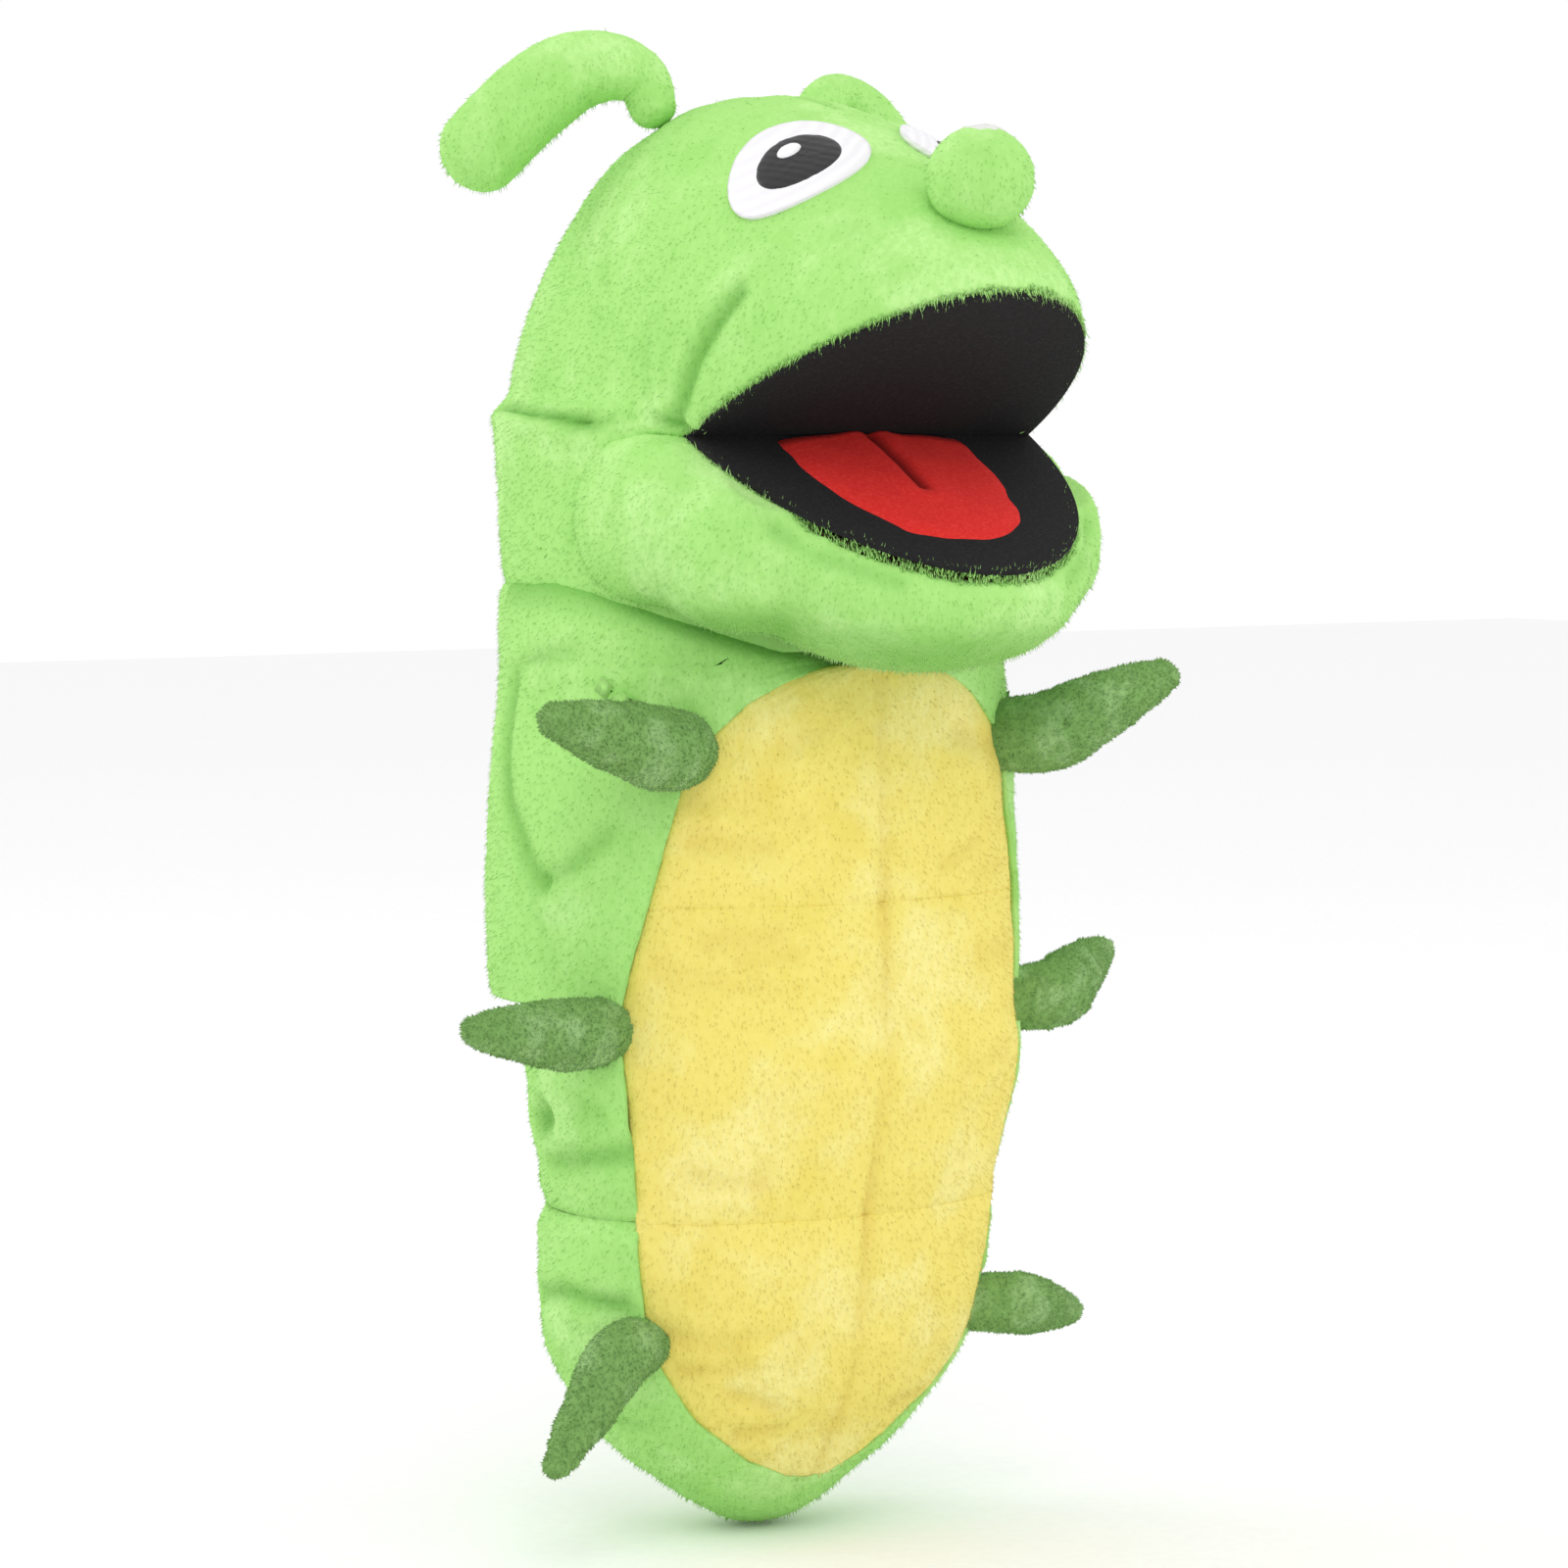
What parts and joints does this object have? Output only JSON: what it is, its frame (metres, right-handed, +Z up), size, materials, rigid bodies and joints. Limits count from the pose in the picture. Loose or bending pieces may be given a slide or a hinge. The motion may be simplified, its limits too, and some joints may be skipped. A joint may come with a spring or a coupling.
{
  "type": "moving mouth hand puppet",
  "caption": "Plush grub hand puppet with a wide hinged mouth, soft antennae, stubby legs and a stuffed belly and tail below a hand opening.",
  "frame": {"origin": "centre of the hand opening in the puppet's back, 112 mm above its foot", "axes": "+Z up from tail to head, -Y the way the puppet's face looks, +X to the puppet's left hand side"},
  "size_m": [0.192, 0.1596, 0.3472],
  "materials": {
    "plush_green": "short-pile plush, matt",
    "plush_yellow": "short-pile plush, matt",
    "plush_leg": "looped terry, matt",
    "mouth_black": "felted cloth, matt",
    "tongue_red": "felted cloth, matt",
    "eye_white": "dense satin-stitch embroidery",
    "thread_black": "dense satin-stitch embroidery",
    "lining_green": "woven lining, matt",
    "lining_black": "woven lining, matt",
    "fibre": "loose polyester fibre fill",
    "wadding": "bonded polyester wadding",
    "board": "stiff fibre board, matt"
  },
  "bodies": {
    "torso": {"back_panel": "plush_green", "sleeve_hem": "lining_green", "side_panel_left": "plush_green", "side_panel_right": "plush_green", "belly_upper_left": "plush_yellow", "belly_upper_right": "plush_yellow", "chest_padding": "wadding", "sleeve_lining": "lining_green", "neck_band": "plush_green", "throat_panel": "plush_green", "flank_left": "plush_green", "flank_right": "plush_green"},
    "middle": {"middle_skin": "plush_green", "belly_middle_left": "plush_yellow", "belly_middle_right": "plush_yellow", "middle_stuffing": "fibre", "hand_rest_cloth": "lining_green"},
    "tail": {"tail_skin": "plush_green", "belly_tail_left": "plush_yellow", "belly_tail_right": "plush_yellow", "tail_stuffing": "fibre"},
    "head": {"head_skin_left": "plush_green", "head_skin_right": "plush_green", "head_stuffing": "fibre", "finger_pocket": "lining_black", "upper_mouth_board": "board", "palate_cloth": "mouth_black", "nose_cover": "plush_green", "nose_stuffing": "fibre", "mouth_crease": "mouth_black", "eye_white_left": "eye_white", "eye_white_right": "eye_white", "eye_pupil_left": "thread_black", "eye_pupil_right": "thread_black", "eye_glint_left": "eye_white", "eye_glint_right": "eye_white"},
    "jaw": {"chin_skin": "plush_green", "chin_stuffing": "fibre", "thumb_pocket": "lining_black", "lower_mouth_board": "board", "mouth_floor_cloth": "mouth_black", "tongue": "tongue_red"},
    "antenna_left": {"antenna_left_cover": "plush_green", "antenna_left_stuffing": "fibre"},
    "antenna_right": {"antenna_right_cover": "plush_green", "antenna_right_stuffing": "fibre"},
    "leg_front_left": {"leg_front_left_cover": "plush_leg", "leg_front_left_stuffing": "fibre"},
    "leg_front_right": {"leg_front_right_cover": "plush_leg", "leg_front_right_stuffing": "fibre"},
    "leg_middle_left": {"leg_middle_left_cover": "plush_leg", "leg_middle_left_stuffing": "fibre"},
    "leg_middle_right": {"leg_middle_right_cover": "plush_leg", "leg_middle_right_stuffing": "fibre"},
    "leg_rear_left": {"leg_rear_left_cover": "plush_leg", "leg_rear_left_stuffing": "fibre"},
    "leg_rear_right": {"leg_rear_right_cover": "plush_leg", "leg_rear_right_stuffing": "fibre"}
  },
  "joints": [
    {"name": "neck_nod", "type": "hinge", "parent": "torso", "child": "head", "pos_m": [0, -0.042, 0.11], "axis": [1, 0, 0], "range_deg": [-14, 14], "stiffness_Nm_per_rad": 0.3, "deforming": ["neck_band", "throat_panel"]},
    {"name": "jaw_hinge", "type": "hinge", "parent": "head", "child": "jaw", "pos_m": [0, -0.082, 0.1435], "axis": [1, 0, 0], "range_deg": [-50, 3], "stiffness_Nm_per_rad": 0.12, "deforming": ["throat_panel"]},
    {"name": "waist_bend", "type": "hinge", "parent": "torso", "child": "middle", "pos_m": [0, -0.089, 0.038], "axis": [1, 0, 0], "range_deg": [-30, 8], "stiffness_Nm_per_rad": 0.5, "deforming": ["flank_left", "flank_right"]},
    {"name": "tail_bend", "type": "hinge", "parent": "middle", "child": "tail", "pos_m": [0, -0.086, -0.034], "axis": [1, 0, 0], "range_deg": [-22, 5], "stiffness_Nm_per_rad": 0.3},
    {"name": "antenna_left_flop", "type": "hinge", "parent": "head", "child": "antenna_left", "pos_m": [0.023, -0.034, 0.219], "axis": [0, 1, 0], "range_deg": [-20, 5], "stiffness_Nm_per_rad": 0.02},
    {"name": "antenna_right_flop", "type": "hinge", "parent": "head", "child": "antenna_right", "pos_m": [-0.023, -0.034, 0.219], "axis": [0, 1, 0], "range_deg": [-15, 15], "stiffness_Nm_per_rad": 0.02},
    {"name": "leg_front_left_swing", "type": "hinge", "parent": "torso", "child": "leg_front_left", "pos_m": [0.05095, -0.08436, 0.0735], "axis": [0, 1, 0], "range_deg": [-25, 25], "stiffness_Nm_per_rad": 0.02},
    {"name": "leg_front_right_swing", "type": "hinge", "parent": "torso", "child": "leg_front_right", "pos_m": [-0.05095, -0.08436, 0.0735], "axis": [0, 1, 0], "range_deg": [-25, 25], "stiffness_Nm_per_rad": 0.02},
    {"name": "leg_middle_left_swing", "type": "hinge", "parent": "middle", "child": "leg_middle_left", "pos_m": [0.06545, -0.06941, 0.01], "axis": [0, 1, 0], "range_deg": [-25, 25], "stiffness_Nm_per_rad": 0.02},
    {"name": "leg_middle_right_swing", "type": "hinge", "parent": "middle", "child": "leg_middle_right", "pos_m": [-0.06545, -0.06941, 0.01], "axis": [0, 1, 0], "range_deg": [-25, 25], "stiffness_Nm_per_rad": 0.02},
    {"name": "leg_rear_left_swing", "type": "hinge", "parent": "tail", "child": "leg_rear_left", "pos_m": [0.05461, -0.06922, -0.062], "axis": [0, 1, 0], "range_deg": [-25, 25], "stiffness_Nm_per_rad": 0.02},
    {"name": "leg_rear_right_swing", "type": "hinge", "parent": "tail", "child": "leg_rear_right", "pos_m": [-0.05461, -0.06922, -0.062], "axis": [0, 1, 0], "range_deg": [-25, 25], "stiffness_Nm_per_rad": 0.02}
  ]
}
